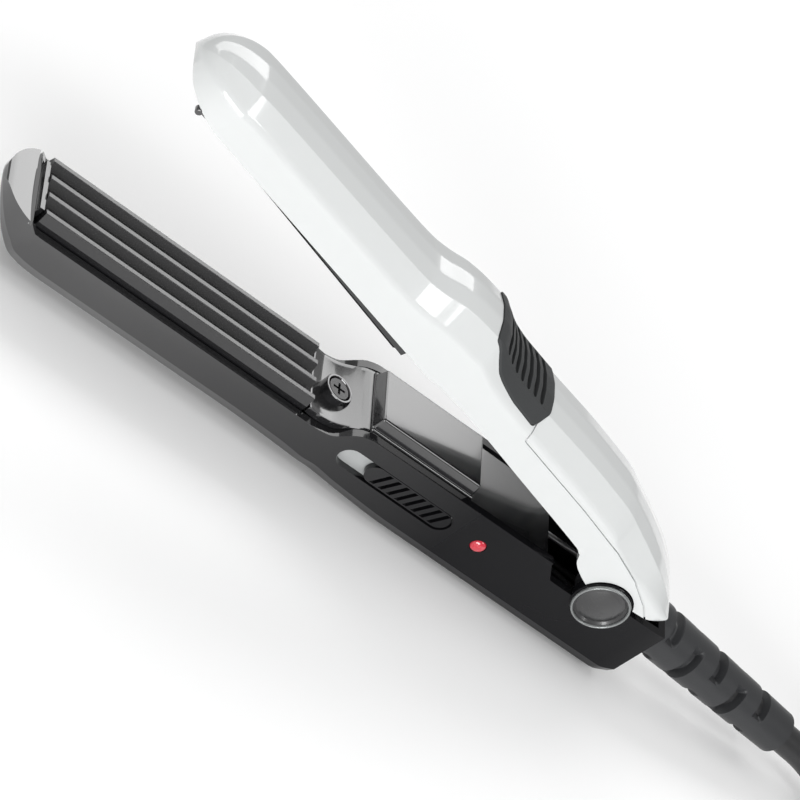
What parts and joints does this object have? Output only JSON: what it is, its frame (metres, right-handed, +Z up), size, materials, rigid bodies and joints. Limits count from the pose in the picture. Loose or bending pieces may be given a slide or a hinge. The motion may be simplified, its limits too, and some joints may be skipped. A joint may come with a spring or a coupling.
{
  "type": "hair crimper",
  "caption": "Hair crimper with two spring-open hinged arms, nesting ridged heater plates, slide switch, lamp, thumb grip, strain relief and folded mains cord with round-pin plug.",
  "frame": {"origin": "on the bench, under the middle of the hinge axis, on the flat underside of the lower handle", "axes": "+X along the lower arm from the plates to the cord, -Y towards the side with the switch, +Z up"},
  "size_m": [0.4232, 0.0446, 0.0603],
  "materials": {
    "white_casing": "gloss, moulded",
    "black_casing": "high gloss, moulded",
    "inner_cover": "gloss, moulded",
    "plate_coating": "satin ceramic coating on aluminium",
    "carrier_plastic": "matt, glass-filled",
    "grip_rubber": "matt soft-touch rubber",
    "relief_rubber": "matt flexible rubber",
    "cord_jacket": "satin cord jacket",
    "switch_plastic": "satin gloss",
    "bezel_plastic": "satin grey",
    "hinge_trim": "satin silver-grey",
    "lamp_lens": "clear red lens",
    "steel": "zinc plated",
    "black_screw": "black zinc",
    "spring_steel": "drawn wire",
    "heater_ceramic": "fired alumina",
    "heater_clip_steel": "rolled sheet",
    "lead_sleeve": "glass-fibre sleeve",
    "mains_sleeve": "PVC",
    "board": "solder-masked board",
    "bush_plastic": "natural acetal",
    "pin_metal": "nickel plated brass",
    "plug_plastic": "satin moulded"
  },
  "bodies": {
    "lower_arm": {"lower_shell": "black_casing", "lower_rear_cover": "black_casing", "lower_inner_cover": "inner_cover", "lower_plate": "plate_coating", "lower_plate_carrier": "carrier_plastic", "lower_heater": "heater_ceramic", "lower_heater_clip": "heater_clip_steel", "lower_heater_leads": "lead_sleeve", "lower_plate_screw": "black_screw", "lower_cover_screws": "steel", "hinge_pin": "steel", "hinge_spacers": "steel", "hinge_cap_near": "hinge_trim", "hinge_cap_far": "hinge_trim", "arm_spring": "spring_steel", "switch_bezel": "bezel_plastic", "switch_body": "carrier_plastic", "circuit_board": "board", "indicator_lamp": "lamp_lens", "thermal_fuse": "steel", "circuit_triac": "carrier_plastic", "mains_leads": "mains_sleeve", "cord_clamp": "carrier_plastic", "strain_relief": "relief_rubber", "cord_inlet": "cord_jacket", "cord_tube": "cord_jacket", "cord_hank": "cord_jacket", "cord_tail": "cord_jacket", "cord_tie": "relief_rubber", "plug_body": "plug_plastic", "plug_pins": "pin_metal", "plug_cord_end": "cord_jacket"},
    "upper_arm": {"upper_shell": "white_casing", "upper_rear_cover": "white_casing", "thumb_grip": "grip_rubber", "upper_inner_cover": "inner_cover", "upper_plate": "plate_coating", "upper_plate_carrier": "carrier_plastic", "upper_heater": "heater_ceramic", "upper_heater_clip": "heater_clip_steel", "upper_heater_leads": "lead_sleeve", "upper_plate_screw": "black_screw", "hinge_bracket": "carrier_plastic", "hinge_bushes": "bush_plastic"},
    "switch_slider": {"switch_knob": "switch_plastic"}
  },
  "joints": [
    {"name": "arm_hinge", "type": "hinge", "parent": "lower_arm", "child": "upper_arm", "pos_m": [0, 0, 0.016], "axis": [0, -1, 0], "range_deg": [0, 15.5], "stiffness_Nm_per_rad": 0.5, "springref_deg": -20.05, "deforming": ["arm_spring"]},
    {"name": "switch_slide", "type": "slide", "parent": "lower_arm", "child": "switch_slider", "axis": [-1, 0, 0], "range_m": [0, 0.0055]}
  ]
}
